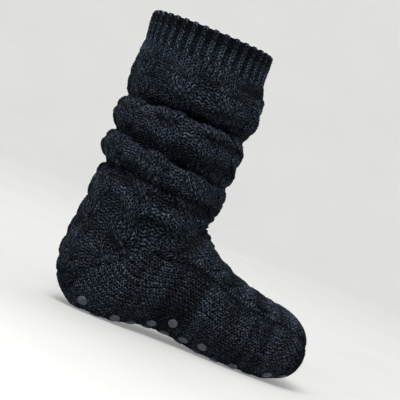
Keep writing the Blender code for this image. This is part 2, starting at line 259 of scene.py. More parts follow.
# %% [markdown]
# ## The surface of the sock
#
# One function gives a point for every place along the sock and every wale round it. Everything else,
# yarn, lining and courses, is measured on this surface. Half of the wales lie on the instep side of
# a section and half on the sole side, as on a real sock.


# %% The surface as a function of place and wale
YARN_ROOM = 0.7 * MM  # the smooth surface stays this far over the sole's level, so the yarn has room
STEP_HEIGHT = 2 * MM  # the knit draws in to the ribbed cuff over this height


def between_sections(place):
    """The fields of the section at each place, smoothly between the rows of the tables."""
    place = np.clip(place, 0, BAND)
    i = np.minimum(place.astype(int), len(SECTIONS) - 2)
    t = (place - i)[..., None]
    a, b, c, d = (SECTIONS[np.clip(i + k, 0, len(SECTIONS) - 1)] for k in (-1, 0, 1, 2))
    curve = b + ((c - a) * t + (2 * a - 5 * b + 4 * c - d) * t**2 + (3 * b - a - 3 * c + d) * t**3) / 2
    return dict(zip(FIELDS, np.moveaxis(curve, -1, 0)))


def smooth(value):
    """Zero below zero, one above one, and an even bend between."""
    value = np.clip(value, 0, 1)
    return value * value * (3 - 2 * value)


def squared(value, power):
    """Sine or cosine of a superellipse."""
    return np.sign(value) * np.abs(value) ** (2 / power)


def folded(place, wale, gathered=True):
    """Points of the smooth surface, and how far folds push them out, at places and wales.

    Knit that isn't gathered takes part in the folds' depth, but isn't drawn up or down by them."""
    place, wale = np.broadcast_arrays(np.asarray(place, float), np.asarray(wale, float))
    s = between_sections(place)
    share = np.clip(place - BAND, 0, 1)
    s["half"] = s["half"] * (1 + BAND_FLARE * share)
    past = (np.abs(wale) - QUARTER) / QUARTER
    degrees = np.where(past <= 0, (past + 1) * s["border"], s["border"] + past * (180 - s["border"]))
    angle = np.sign(wale) * np.radians(degrees)
    across_x, across_z = s["over_x"] - s["under_x"], s["over_z"] - s["under_z"]
    depth = np.hypot(across_x, across_z)
    across_x, across_z = across_x / depth, across_z / depth
    lower = np.cos(angle) < 0
    reach = depth * np.where(lower, s["waist"], 1 - s["waist"]) * (1 + BAND_FLARE * share)
    power = np.where(lower, s["sole"], s["top"])
    spoke = squared(np.cos(angle), power) * reach
    spoke_y = squared(np.sin(angle), power) * s["half"]
    x = s["under_x"] + across_x * (depth * s["waist"] + spoke)
    x = x - math.tan(LEG_LEAN) * CUFF_HEIGHT * share
    z = s["under_z"] + across_z * (depth * s["waist"] + spoke)
    z = z + s["skew"] * np.sin(angle) / 2 + CUFF_HEIGHT * share
    out, rise = folds(z, angle)
    rise = rise * gathered
    on_leg = smooth((place - ANKLE + 2) / 2) * smooth((BAND + 0.3 - place) / 0.6)
    ropes = -np.cos(2 * np.pi * wale / ROPE_REPEAT)
    drawn_in = smooth((place - BAND) * CUFF_HEIGHT / STEP_HEIGHT)
    out = out + PILLOW * ropes * on_leg - RIB_STEP * drawn_in
    length = np.maximum(np.hypot(spoke, spoke_y), 1e-6)
    x = x + across_x * spoke / length * out - across_z * rise
    z = z + across_z * spoke / length * out + across_x * rise
    y = spoke_y + spoke_y / length * out
    points = np.stack([x + HEEL_X, y, z], -1)
    tip = np.array([SOCK_HIGH.x, 0.0, points[place <= 0, 2].mean() if (place <= 0).any() else 0.0])
    points = points + (tip - points) * np.clip(-place, 0, 1)[..., None]
    points[..., 2] = np.maximum(points[..., 2], SOLE_LEVEL + YARN_ROOM)
    return points, out


def surface(place, wale):
    """Points of the sock's smooth surface, at arrays of places and wales that fit each other."""
    return folded(place, wale)[0]


def facing(place, wale, of=surface):
    """Unit normals of the smooth surface, which point out of the sock."""
    step = 0.004
    along = of(place + step, wale) - of(np.maximum(place - step, TIP + 0.001), wale)
    around = of(place, wale + 10 * step) - of(place, wale - 10 * step)
    normal = np.cross(around, along)
    return normal / np.maximum(np.linalg.norm(normal, axis=-1, keepdims=True), 1e-12)


# %% [markdown]
# ## Courses
#
# Yarn doesn't stretch much, so stitches keep their height through a fold. The courses are counted by
# the length of knit along each wale: from the cuff down the leg and on along the instep, and on the
# sole from the middle of the foot. The two counts meet at the heel's mitre, which is a visible line
# on the real sock too.

# %% Length of knit along the wales
GRID_STEP = 1 / 60
GRID_COLUMNS = 2  # columns of the grid for each wale
GRID_PLACES = np.arange(TIP, BAND + 1 + GRID_STEP / 2, GRID_STEP)
GRID_WALES = np.arange(-WALES / 2, WALES / 2 + 0.01, 1 / GRID_COLUMNS)
grid = surface(GRID_PLACES[:, None], GRID_WALES[None, :])
steps = np.linalg.norm(np.diff(grid, axis=0), axis=-1)
LENGTH = np.vstack([np.cumsum(steps[::-1], axis=0)[::-1], np.zeros(len(GRID_WALES))])
SOLE_START = LENGTH[np.searchsorted(GRID_PLACES, float(PLACES["waist"]))]
BAND_LENGTH = LENGTH[np.searchsorted(GRID_PLACES, BAND)]
LEG_COURSES = (LENGTH[np.searchsorted(GRID_PLACES, ANKLE)] - BAND_LENGTH) / COURSE
across_grid = np.linalg.norm(np.diff(grid, axis=1), axis=-1)
GIRTH = across_grid.sum(1)
INSTEP_GIRTH = across_grid[:, np.abs(GRID_WALES[:-1] + 0.5 / GRID_COLUMNS) < QUARTER].sum(1)


def grid_column(wale):
    """The column of the grid at a wale."""
    return (wale + WALES / 2) * GRID_COLUMNS


to_toe = LENGTH[0] / MM
print("knit from cuff to toe, mm: instep", round(to_toe[int(grid_column(0))]), "sole", round(to_toe[0]))


def from_grid(table, place, wale):
    """Reads a table that is kept on the grid of places and wales, in between its points."""
    row = np.clip((place - TIP) / GRID_STEP, 0, len(GRID_PLACES) - 1.001)
    column = np.clip(grid_column(wale), 0, len(GRID_WALES) - 1.001)
    i, j = row.astype(int), column.astype(int)
    s, t = row - i, column - j
    low = table[i, j] * (1 - t) + table[i, j + 1] * t
    return low * (1 - s) + (table[i + 1, j] * (1 - t) + table[i + 1, j + 1] * t) * s


def rows_between(first, last, wales, step=ROW_STEP):
    """Places from first to last, spaced evenly where the knit is longest."""
    inside = (GRID_WALES >= wales[0]) & (GRID_WALES <= wales[1])
    fastest = steps[:, inside].max(1)
    run = np.concatenate([[0], np.cumsum(fastest)])
    start, end = np.interp([first, last], GRID_PLACES, run)
    count = max(int(math.ceil((end - start) / step)), 2)
    return np.interp(np.linspace(start, end, count + 1), run, GRID_PLACES)


# %% [markdown]
# ## Stitches as relief
#
# Plain knit shows columns of V stitches, each two slanted strands. Purl shows as wavy bars across,
# because there the loops' heads face the viewer. A cable is two strands of three wales each that
# swap sides every few courses, and the strand on top stands proud. Each pattern is a height that
# depends on the wale and the course, so it is one short formula and works at any size.

# %% Heights of the patterns, in millimetres
STRAND_RISE = 1.25  # courses that a strand of a V stitch climbs over half a wale
PURL_ARCH = 0.22  # courses that a purl bar arches by, up and down
STRAND_HALF = 1.75  # half the width of a cable's strand, in wales
STRAND_SWING = 1.48  # wales that it moves to each side of the cable's middle
RIB_HALF = 0.58  # half the width of a rib, in wales
PLAIN_RELIEF = 1.5
PURL_RELIEF = 1.2
CABLE_RELIEF = 2.9
STITCH_RELIEF = 1.5  # of the stitches on a cable
RIB_RELIEF = 1.9
RIB_STITCH, RIB_PURL = 1.2, 0.5  # of the stitches on a rib, and of the purl between ribs
PLAIN_START = 4.5  # courses of plain knit under the cuff, before the cables begin
# Painted shade: share by which the knit's colour is darkened at the bottom of a crease.
PAINTED_CREASE_SHADE = 0.75  # how much darker the knit looks at the bottom of a crease


def ridge(phase, roundness):
    """Rounded ridges, one for each whole number."""
    return (0.5 + 0.5 * np.cos(2 * np.pi * phase)) ** roundness


def v_stitches(wale, course):
    """Plain knit from 0, between strands, to 1 on a strand's back. A wale's middle is at a half."""
    side = np.abs(2 * (wale - np.floor(wale)) - 1)
    strand = ridge(course - STRAND_RISE * side, 0.9)
    return (0.3 + 0.7 * strand) * (1 - 0.95 * side**3 - 0.25 * (1 - side) ** 4)


def purl_bars(wale, course):
    """Purl from 0 to 1: bars that arch once in each wale."""
    return ridge(course - PURL_ARCH * np.cos(2 * np.pi * wale), 0.7)


def cable_knit(wale, course):
    """The leg's pattern: cables of six wales between gutters of three.

    Gives the height, the wale as a strand carries it along, painted shade for the light that gets
    there, and purl."""
    offset = ROPE_REPEAT / 2 - np.abs(wale) % ROPE_REPEAT
    turn = (course / CROSSING) % 1
    centre = STRAND_SWING * (2 * smooth((turn - 0.5) / 0.88 + 0.5) - 1)
    lift = np.sin(np.pi * turn) ** 2
    over = np.sqrt(np.clip(1 - ((offset - centre) / STRAND_HALF) ** 2, 0, 1)) * (1 + 0.22 * lift)
    under = np.sqrt(np.clip(1 - ((offset + centre) / STRAND_HALF) ** 2, 0, 1)) * (1 - 0.45 * lift)
    strand = np.maximum(over, under)
    local = np.where(over >= under, offset - centre, offset + centre)
    stitch = v_stitches(local + 0.5, course)
    bars = purl_bars(wale, course)
    inside = smooth(strand * 2.4)
    height = CABLE_RELIEF * (strand - 0.5) + inside * STITCH_RELIEF * (stitch - 0.5)
    height = height + (1 - inside) * PURL_RELIEF * (bars - 0.5)
    # Painted shade: the light level drops where a strand dips under the other, and is 0.62 in the
    # gutters.
    light = inside * (0.32 + 0.68 * strand) + (1 - inside) * 0.62
    return height, np.where(inside > 0.5, local + 0.5, wale), light, 1 - inside


def plain_knit(wale, course):
    """Height of plain knit."""
    return PLAIN_RELIEF * (v_stitches(wale, course) - 0.5)


def rib_knit(wale, course):
    """The cuff: one wale of knit, one of purl, drawn together. Gives what cable_knit gives."""
    across = (wale + 0.5) % 2 - 1
    crown = np.sqrt(np.clip(1 - (across / RIB_HALF) ** 2, 0, 1))
    shown = across / (2 * RIB_HALF) + 0.5
    stitch = v_stitches(shown, course)
    bars = purl_bars(wale, course)
    inside = smooth(crown * 2)
    height = RIB_RELIEF * (crown - 0.55) + inside * RIB_STITCH * (stitch - 0.5)
    height = height + (1 - inside) * RIB_PURL * (bars - 0.5)
    # The third value is painted shade: the knit is darker between the ribs.
    return height, np.where(inside > 0.5, shown, wale), 0.2 + 0.8 * crown**2, 1 - inside


# %% [markdown]
# ## Chance in hand knitting
#
# No two stitches are alike: the yarn is thicker here and tighter there. A sum of a few sine waves
# with seeded directions gives such a drift, and it is the same on every run.


# %% Smooth chance
def drift(points, size, seed):
    """Smooth chance variation, mostly between -1 and 1, with features of one size."""
    chance = np.random.default_rng(seed)
    waves = chance.normal(size=(3, 9))
    waves *= 2 * np.pi / size * chance.uniform(0.45, 1.1, 9) / np.linalg.norm(waves, axis=0)
    return np.sin(points @ waves + chance.uniform(0, 2 * np.pi, 9)).sum(-1) / 3.2


tightness = drift(grid[::60, ::6], 14 * MM, 3)  # at every section, on every third wale
print("drift over the sock, from", round(tightness.min(), 2), "to", round(tightness.max(), 2))

# %% [markdown]
# ## From the patterns to the yarn's surface
#
# Each place and wale gets a course number and a wale number, and these choose its point of a pattern.
# In front of the ankle the courses of the leg and the instep crowd together. The instep narrows
# towards the toe, so it loses wales and its middle cables end. The sole is knitted closer than the
# leg. Three joins show as shallow grooves: along the toe's sides, at the mitre and along the sole.

# %% Courses and wales at every place
LEVEL_WALE = 13.5  # the courses over the instep are spaced as along this wale
HEEL_WALES = (12, 28)  # between these the count passes from that wale's to the heel's own
HEEL_REACH = 4  # sections below the mitre where the heel's own count has ended


def course_counts(place, wale):
    """Courses down the leg and instep, and courses along the sole, at places and wales.

    The leg and the instep have as many courses on every wale, so they crowd in front of the ankle."""
    columns = np.arange(len(GRID_WALES))
    column = np.clip(grid_column(wale), 0, columns[-1])
    tables = (BAND_LENGTH, LEG_COURSES, SOLE_START)
    top, leg, middle = (np.interp(column, columns, table) for table in tables)
    length = from_grid(LENGTH, place, wale)
    level = from_grid(LENGTH, place, np.full_like(place, LEVEL_WALE))
    at = int(grid_column(LEVEL_WALE))
    share = np.clip((BAND - place) / (BAND - ANKLE), 0, 1)
    own = (length - top) / COURSE - (leg - LEG_COURSES[at]) * share
    even = np.where(place < ANKLE, (level - BAND_LENGTH[at]) / COURSE, own)
    behind = smooth((np.abs(wale) - HEEL_WALES[0]) / (HEEL_WALES[1] - HEEL_WALES[0]))
    behind = behind * smooth((place - MITRE + HEEL_REACH) / HEEL_REACH)
    return own * behind + even * (1 - behind), (length - middle) / COURSE


SOLE_WALES = 22  # wales on half the sole, which is knitted closer than half the leg's back, 18
INSTEP_LEFT = 0.5  # share of the instep's wales that is left in front of the arch
NARROWING = 4  # sections over which it loses the others


def wales_kept(place, wale):
    """Wale numbers where the knit is decreased: over the instep, and where the toe narrows."""
    round_sock = np.interp(place, GRID_PLACES, GIRTH)
    over_instep = np.interp(place, GRID_PLACES, INSTEP_GIRTH)
    widest = INSTEP_GIRTH[GRID_PLACES <= ANKLE].max()
    left = 1 - (1 - INSTEP_LEFT) * smooth((PLACES["heel_front"] + 1 - place) / NARROWING)
    instep = QUARTER - (QUARTER - np.abs(wale)) * left
    toe_top = np.abs(wale) * over_instep / widest
    narrowed = np.minimum(round_sock / np.interp(TOE_ROOT, GRID_PLACES, GIRTH), 1)
    closer = np.where(place < MITRE, SOLE_WALES / (WALES / 2 - QUARTER), 1)
    sole = WALES / 2 - (WALES / 2 - np.abs(wale)) * closer * np.where(place < TOE_ROOT, narrowed, 1)
    top = np.where(place < TOE_ROOT + 0.15, toe_top, instep)
    return np.sign(wale) * np.where(np.abs(wale) > QUARTER, sole, top)


# %% The yarn's height over the smooth surface
UNEVEN_COURSES, UNEVEN_WALES, UNEVEN_HEIGHT = (0.10, 0.06), 0.07, 0.14  # shares of a stitch
# Each join is a groove of some depth, darkened with painted shade.
TOE_GROOVE, MITRE_GROOVE, BORDER_GROOVE = (1.0, 0.6), (0.7, 0.4), (0.9, 0.6)  # depth, mm, and shade


def relief(place, wale, points, out):
    """Height of the yarn over the smooth surface in metres, and the knit's own coordinates with a
    painted
    light level: shade painted into the gaps, gutters, grooves and creases.
    """
    down, along = course_counts(place, wale)
    loose = UNEVEN_COURSES[0] * drift(points, 14 * MM, 3) + UNEVEN_COURSES[1] * drift(points, 5 * MM, 4)
    down, along = down + loose, along + loose
    number = wales_kept(place, wale) + UNEVEN_WALES * drift(points, 9 * MM, 5)
    on_sole = np.abs(wale) > QUARTER
    on_heel, on_toe = smooth((MITRE + 0.04 - place) / 0.08), smooth((TOE_ROOT + 0.22 - place) / 0.10)
    plain = np.where(on_sole, on_heel, on_toe)
    plain = np.maximum(plain, smooth((PLAIN_START - down) / 1.2))
    course = np.where(on_sole & (place < MITRE), along, down)
    cable, cable_wale, cable_painted_light, cable_purl = cable_knit(number, course)
    rib, rib_wale, rib_painted_light, rib_purl = rib_knit(wale, down)
    flat = 0.85 + 0.15 * smooth((place - TOE_ROOT - 4) / 8)
    height = cable * flat * (1 - plain) + plain_knit(number, course) * plain
    light = 1 - (1 - cable_painted_light) * flat * (1 - plain)
    side = (np.abs(wale) - QUARTER) * np.interp(place, GRID_PLACES, GIRTH) / GIRTH.max()
    toe_line = smooth((TOE_ROOT + 0.5 - place) * 2) * soft(side / 0.75)
    mitre = soft((place - MITRE) / 0.05) * smooth((np.abs(wale) - QUARTER) / 2)
    border = smooth((MITRE - place) / 0.5) * smooth((place - TOE_ROOT) * 2) * soft(side / 0.8)
    grooves = (TOE_GROOVE, toe_line), (MITRE_GROOVE, mitre), (BORDER_GROOVE, border)
    # Each groove is cut into the height and darkened with painted shade.
    for (deep, shade), line in grooves:
        height, light = height - deep * line, light - shade * line
    ribbed = smooth((place - BAND) / 0.06)
    height = height * (1 - ribbed) + rib * ribbed
    light = light * (1 - ribbed) + rib_painted_light * ribbed
    # Painted shade at the bottom of each crease, where a fold pushes the knit in by more than 2.5 mm.
    light = light * (1 - PAINTED_CREASE_SHADE * smooth((-out / MM - 2.5) / 7) * (1 - ribbed))
    purl = cable_purl * (1 - plain) * (1 - ribbed) + rib_purl * ribbed
    shown = np.where(ribbed > 0.5, rib_wale, np.where(plain > 0.5, number, cable_wale))
    height = height * (1 + UNEVEN_HEIGHT * drift(points, 7 * MM, 6))
    slack = 0.35 + 0.75 * smooth((place - ANKLE + 3) / 3) * smooth((BAND - place) / 0.5)
    height = height + slack * drift(points, 21 * MM, 7)
    return height * MM, np.stack([shown, course, light, purl], -1)


# %% [markdown]
# ## Meshes from grids
#
# A grid of points becomes a mesh of quads. The knit's own coordinates are stored with the points, so
# that the yarn's colour can follow wales and courses instead of space, and with them a painted light
# level: shade painted into gaps, gutters, grooves and creases.


# %% From a grid to an object
def in_scene(name, data):
    """A new object of the scene, from a mesh, a light or a camera."""
    made = bpy.data.objects.new(name, data)
    bpy.context.scene.collection.objects.link(made)
    return made


def grid_object(name, points, knit, ring):
    """A smooth mesh from rows of points. A ring's last column joins its first."""
    rows, columns = points.shape[:2]
    index = np.arange(rows * columns).reshape(rows, columns)
    right = np.roll(index, -1, axis=1) if ring else index[:, 1:]
    left = index if ring else index[:, :-1]
    faces = np.stack([left[:-1], left[1:], right[1:], right[:-1]], -1).reshape(-1, 4)
    mesh = bpy.data.meshes.new(name)
    mesh.from_pydata(points.reshape(-1, 3).tolist(), [], faces.tolist())
    kinds = ("knit", "FLOAT_VECTOR", "vector", knit[..., :3]), ("purl", "FLOAT", "value", knit[..., 3])
    for label, kind, field, values in kinds:
        attribute = mesh.attributes.new(label, kind, "POINT")
        attribute.data.foreach_set(field, values.reshape(-1).astype(np.float32))
    mesh.shade_smooth()
    print(f"{name}: {len(faces) * 2} triangles")
    return in_scene(name, mesh)


def wale_columns(first, last):
    """Wales at the mesh's columns, from first to last."""
    return np.linspace(first, last, int(round((last - first) * COLUMNS)) + 1)


def knitted(name, first, last, wales, ring=False, tuck=0.0):
    """A piece of the outside, between two places and two wales. Past the sole's border it tucks in."""
    columns = wale_columns(*wales)[:-1] if ring else wale_columns(*wales)
    place, wale = np.meshgrid(rows_between(first, last, wales), columns, indexing="ij")
    wale = np.where(wale > WALES / 2, wale - WALES, wale)
    (points, out), normal = folded(place, wale), facing(place, wale)
    height, knit = relief(place, wale, points, out)
    points = points + normal * height[..., None]
    points = points - normal * np.where(np.abs(wale) > QUARTER, tuck, 0.0)[..., None]
    return grid_object(name, points, knit, ring)


# %% [markdown]
# ## The knitted pieces
#
# The sock is one piece of knit. It is meshed in parts only to keep each part light, and the parts
# share their edges. The heel and the sole have rows of their own, because the knit is longer there
# than over the instep, and the instep reaches half a wale under their border.

# %% Leg, heel, sole, instep and toe
ALL_ROUND = (-WALES / 2, WALES / 2)
UNDER_FOOT = (QUARTER, WALES - QUARTER)
EDGE_WALES, EDGE_TUCK = 0.5, 0.5 * MM  # how far and how deep the instep goes on under the border
middle, shank = float(PLACES["middle_roll"]), float(PLACES["shank"])
instep = (-QUARTER - EDGE_WALES, QUARTER + EDGE_WALES)
pieces = [
    knitted("cabled_leg", middle, BAND, ALL_ROUND, ring=True),
    knitted("slouched_leg", ANKLE, middle, ALL_ROUND, ring=True),
    knitted("cabled_instep", TOE_ROOT, ANKLE, instep, tuck=EDGE_TUCK),
    knitted("toe_cap", TIP + 0.01, TOE_ROOT, ALL_ROUND, ring=True),
    knitted("turned_heel", shank, ANKLE, UNDER_FOOT),
    knitted("plain_sole", TOE_ROOT, shank, UNDER_FOOT),
]

# %% [markdown]
# ## The ribbed cuff
#
# The cuff is knitted in one by one rib, which looks alike on both sides. It turns over its edge in a
# small round rim, scalloped by the ribs, and its inside runs down to where the lining starts.


# %% Cuff, rim and the cuff's inside
def ribbed_cuff():
    """The cuff's outside, rim and inside as one ring of rows."""
    outer = rows_between(BAND, BAND + 1, ALL_ROUND)
    rim_steps = 7
    turns = np.concatenate([np.zeros(len(outer)), np.linspace(0, math.pi, rim_steps + 2)[1:-1]])
    inner = np.linspace(BAND + 1, BAND + 0.02, len(outer) // 2)
    turns = np.concatenate([turns, np.full(len(inner), math.pi)])
    place = np.concatenate([outer, np.full(rim_steps, BAND + 1), inner])
    place, wale = np.meshgrid(place, wale_columns(*ALL_ROUND)[:-1], indexing="ij")
    turn = np.broadcast_to(turns[:, None, None], place.shape + (1,))
    (points, out), normal = folded(place, wale), facing(place, wale)
    height, knit = relief(place, wale, points, out)
    up = np.array([0.0, 0.0, 1.0])
    radius = KNIT_WALL / 2
    way = normal * np.cos(turn) + up * np.sin(turn)
    points = points - normal * radius + way * radius
    points = points + way * height[..., None] * (1 - 0.5 * np.sin(turn))
    return grid_object("ribbed_cuff", points, knit, ring=True)


pieces.append(ribbed_cuff())

# %% [markdown]
# ## The lining
#
# Inside, a slipper sock is backed with a short brushed pile that hides the floats of yarn. It is a
# second skin, one wall thickness in, with the lumps of a pile that feet have pressed.


# %% Brushed pile inside
LINING_ROWS = 3.4 * MM
LINING_COLUMNS = 108
PILE_DEPTH = 1.0 * MM


def backing(place, wale):
    """The surface that the lining follows: it spans the tight gathers of the knit."""
    return folded(place, wale, gathered=False)[0]


def pile_lining():
    """The inner skin, from under the cuff's inside to the toe."""
    places = rows_between(TIP + 0.4, BAND + 0.06, ALL_ROUND, step=LINING_ROWS)
    columns = np.linspace(*ALL_ROUND, LINING_COLUMNS + 1)[:-1]
    place, wale = np.meshgrid(places, columns, indexing="ij")
    points = backing(place, wale)
    pile = 0.5 * drift(points, 4 * MM, 11) + 0.25 * drift(points, 2.2 * MM, 12)
    points = points - facing(place, wale, backing) * (KNIT_WALL + PILE_DEPTH + pile * MM)[..., None]
    return grid_object("pile_lining", points, np.stack([wale, place, pile, 0 * pile], -1), True)


lining = pile_lining()

# %% [markdown]
# ## Loose fibres
#
# Soft-spun yarn sheds short fibres that stand off its surface and blur the sock's outline. Each is a
# thin three-sided thread on a bent line, rooted in a strand. Hair particles would be quicker, but
# real threads are kept when the model is exported.

# %% Fuzz of loose fibres
FIBRES = 5200
FIBRE_RADIUS = 0.06 * MM
FIBRE_LENGTHS = (1.4, 3.6)  # shortest and longest, mm


def loose_fibres():
    """Short bent threads that stand off the yarn, spread evenly over the knit's area."""
    chance = np.random.default_rng(31)
    area = (steps[:, :-1] * across_grid[:-1]).ravel()
    row, column = np.divmod(chance.choice(area.size, FIBRES, p=area / area.sum()), len(GRID_WALES) - 1)
    place = GRID_PLACES[row] + chance.uniform(0, GRID_STEP, FIBRES)
    wale = GRID_WALES[column] + chance.uniform(0, 1 / GRID_COLUMNS, FIBRES)
    points, out = folded(place, wale)
    height, _ = relief(place, wale, points, out)
    normal = facing(place, wale)
    kept = (points[:, 2] > SOLE_LEVEL + 5 * MM) & (place > TIP + 0.2)
    root, normal = (points + normal * (height - 0.4 * MM)[:, None])[kept], normal[kept]
    count = len(root)
    lean, bend = chance.normal(size=(2, count, 3))
    way = normal * chance.uniform(0.5, 1.1, (count, 1)) + 0.55 * lean
    way /= np.linalg.norm(way, axis=1, keepdims=True)
    length = chance.uniform(*FIBRE_LENGTHS, (count, 1)) * MM
    side = np.cross(way, bend)
    side /= np.linalg.norm(side, axis=1, keepdims=True)
    other = np.cross(way, side)
    rings = []
    for t, radius in ((0.0, 1.0), (0.35, 0.9), (0.7, 0.75), (1.0, 0.4)):
        middle = root + length * (way * t + 0.22 * bend * t * t)
        for corner in range(3):
            turn = 2 * math.pi * corner / 3
            outward = side * math.cos(turn) + other * math.sin(turn)
            rings.append(middle + FIBRE_RADIUS * radius * outward)
    vertices = np.stack(rings, 1)
    vertices[..., 2] = np.maximum(vertices[..., 2], 0.3 * MM)
    faces = [(9, 10, 11)]
    for ring in range(3):
        for corner in range(3):
            a, b = 3 * ring + corner, 3 * ring + (corner + 1) % 3
            faces += [(a, b, b + 3), (a, b + 3, a + 3)]
    faces = (np.array(faces)[None] + 12 * np.arange(count)[:, None, None]).reshape(-1, 3)
    mesh = bpy.data.meshes.new("loose_fibres")
    mesh.from_pydata(vertices.reshape(-1, 3).tolist(), [], faces.tolist())
    print("loose_fibres:", count, "fibres,", len(faces), "triangles")
    return in_scene("loose_fibres", mesh)


fuzz = loose_fibres()

# %% [markdown]
# ## Grip dots
#
# Drops of silicone are printed on the sole and cure to low domes. The solid model holds each as a
# small frustum. A dome is turned on every one, a little larger where it has run into the yarn.


# %% Domed dots from the solids
# radius and height of each ring of a dome, mm
DOME = ((4.65, -0.7), (4.6, 0.0), (4.3, 0.5), (3.6, 0.88), (2.4, 1.1), (1.1, 1.18))
DOME_TOP = 1.2 * MM
DOME_SIDES = 24


def dot_domes():
    """All domes as one mesh, one for each dot of the solid model."""
    names = sorted(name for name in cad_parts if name.startswith("grip_dot"))
    vertices, faces = [], []
    chance = np.random.default_rng(21)
    for name in names:
        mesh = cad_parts[name].data
        co = np.array([v.co for v in mesh.vertices])
        centre = co.mean(0)
        normal = np.linalg.svd(co - centre)[2][2]
        normal = normal if normal[2] < 0 else -normal
        half = np.abs((co - centre) @ normal).max()
        frame_at = Matrix.Translation(Vector(centre - normal * half))
        frame_at = frame_at @ Vector(normal).to_track_quat("Z", "X").to_matrix().to_4x4()
        base = len(vertices)
        spin, size = chance.uniform(0, 1), chance.uniform(0.96, 1.04)
        for radius, height in DOME:
            for k in range(DOME_SIDES):
                t = 2 * math.pi * (k + spin) / DOME_SIDES
                run = 1 + 0.03 * math.sin(2 * t + 6 * spin) * (radius > 3)
                wide = radius * run * size
                at = Vector((wide * math.cos(t), wide * math.sin(t), height))
                vertices.append(frame_at @ (at * MM))
        vertices.append(frame_at @ Vector((0, 0, DOME_TOP)))
        for ring in range(len(DOME) - 1):
            for k in range(DOME_SIDES):
                n = (k + 1) % DOME_SIDES
                low, high = base + ring * DOME_SIDES, base + (ring + 1) * DOME_SIDES
                faces.append((low + k, low + n, high + n, high + k))
        faces += [(high + k, high + (k + 1) % DOME_SIDES, len(vertices) - 1) for k in range(DOME_SIDES)]
    for vertex in vertices:
        vertex.z = max(vertex.z, 0.0)
    mesh = bpy.data.meshes.new("grip_dots")
    mesh.from_pydata(vertices, [], faces)
    mesh.shade_smooth()
    print("grip_dots:", len(names), "domes,", len(faces) * 2, "triangles at most")
    return in_scene("grip_dots", mesh), names


dots, dot_names = dot_domes()

# %% [markdown]
# ## Colour and a helper for nodes
#
# Colours are written as on a colour chart, in sRGB hex, and turned to the linear values that a shader
# takes. One helper adds a node with its settings and links, so that a material reads as a list.


# %% Colour and node helpers
def linear(code):
    """A hex colour as linear red, green, blue and alpha."""
    parts = [int(code[i : i + 2], 16) / 255 for i in (1, 3, 5)]
    return tuple(p / 12.92 if p <= 0.04045 else ((p + 0.055) / 1.055) ** 2.4 for p in parts) + (1.0,)


def feed(tree, node, **inputs):
    """Gives a node's inputs their values, or links them to the sockets that are given."""
    for key, value in inputs.items():
        numbered = key[0] == "i" and key[1:].isdigit()
        socket = node.inputs[int(key[1:]) if numbered else key.replace("_", " ")]
        if isinstance(value, bpy.types.NodeSocket):
            tree.links.new(value, socket)
        else:
            socket.default_value = value
    return node


def add(tree, kind, settings=(), **inputs):
    """A shader node of a kind: settings come as pairs, inputs by name or, as i0 and i1, by number."""
    node = tree.nodes.new("ShaderNode" + kind)
    for key, value in settings:
        setattr(node, key, value)
    return feed(tree, node, **inputs)


def ramp(tree, factor, *stops):
    """A colour ramp from pairs of position and colour, as a hex code or as linear values."""
    node = add(tree, "ValToRGB", Fac=factor)
    elements = node.color_ramp.elements
    while len(elements) < len(stops):
        elements.new(0.5)
    for element, (position, colour) in zip(elements, stops):
        element.position = position
        element.color = linear(colour) if isinstance(colour, str) else colour
    return node.outputs["Color"]


def new_material(name):
    """An empty material: its node tree and its shader."""
    made = bpy.data.materials.new(name)
    made.use_nodes = True
    print("material:", name)
    return made, made.node_tree, made.node_tree.nodes["Principled BSDF"]


TIMES_PLUS = [("operation", "MULTIPLY_ADD")]
FOLDED = [("operation", "PINGPONG")]
MULTIPLY = [("data_type", "RGBA"), ("blend_type", "MULTIPLY")]
print("white as linear:", linear("#ffffff"))

# %% [markdown]
# ## Marl yarn
#
# The yarn is spun from dark navy, charcoal and a little grey wool and acrylic, so that every strand
# is flecked. Flecks lie along the strand, two to three times as long as wide. Along a course the yarn
# drifts in tone and in hue for some centimetres, which gives the faint bars across the foot. The mesh
# carries each stitch's place in the knit, so the material works out where a strand runs: gaps between
# strands and the valleys between wales get painted shade, and the two plies wind round each strand.
# The mesh also carries a painted light level, which darkens the dips and gutters of the cables, the
# joins' grooves and the bottoms of creases.


# %% Where a strand runs
PLY_TURNS = 2.2  # turns of the plies over half a wale


def strands(tree, wale, course, purl):
    """Sockets for the way across a wale and across a strand, the wind of the plies, and the strand."""
    half_wale = add(tree, "Math", FOLDED, i0=wale, i1=0.5).outputs[0]
    side = add(tree, "Math", TIMES_PLUS, i0=half_wale, i1=-2.0, i2=1.0).outputs[0]
    slant = add(tree, "Math", TIMES_PLUS, i0=side, i1=-STRAND_RISE, i2=course).outputs[0]
    turn = add(tree, "Math", [("operation", "MULTIPLY")], i0=wale, i1=2 * math.pi).outputs[0]
    arch = add(tree, "Math", [("operation", "COSINE")], i0=turn).outputs[0]
    bar = add(tree, "Math", TIMES_PLUS, i0=arch, i1=-PURL_ARCH, i2=course).outputs[0]
    phase = add(tree, "Mix", [("data_type", "FLOAT")], i0=purl, i2=slant, i3=bar).outputs[0]
    across = add(tree, "Math", FOLDED, i0=phase, i1=0.5).outputs[0]
    wind = add(tree, "Math", TIMES_PLUS, i0=side, i1=PLY_TURNS, i2=phase).outputs[0]
    ply = add(tree, "Math", FOLDED, i0=wind, i1=0.5).outputs[0]
    return side, across, ply, phase


# %% Marl yarn
FLECK_SCALE = (1.25, 2.7, 0.0)  # flecks to a strand's width, and to a wale along the strand
BAR_SCALE, HUE_SCALE = (0.016, 0.17, 0.0), (0.03, 0.11, 0.0)  # drifts to a wale, and to a course
PATCH_SIZE = 14 * MM
FIBRE_SIZE = 0.45 * MM  # coarser than a real fibre, so that it shows
STRAND_BUMP = 0.45 * MM


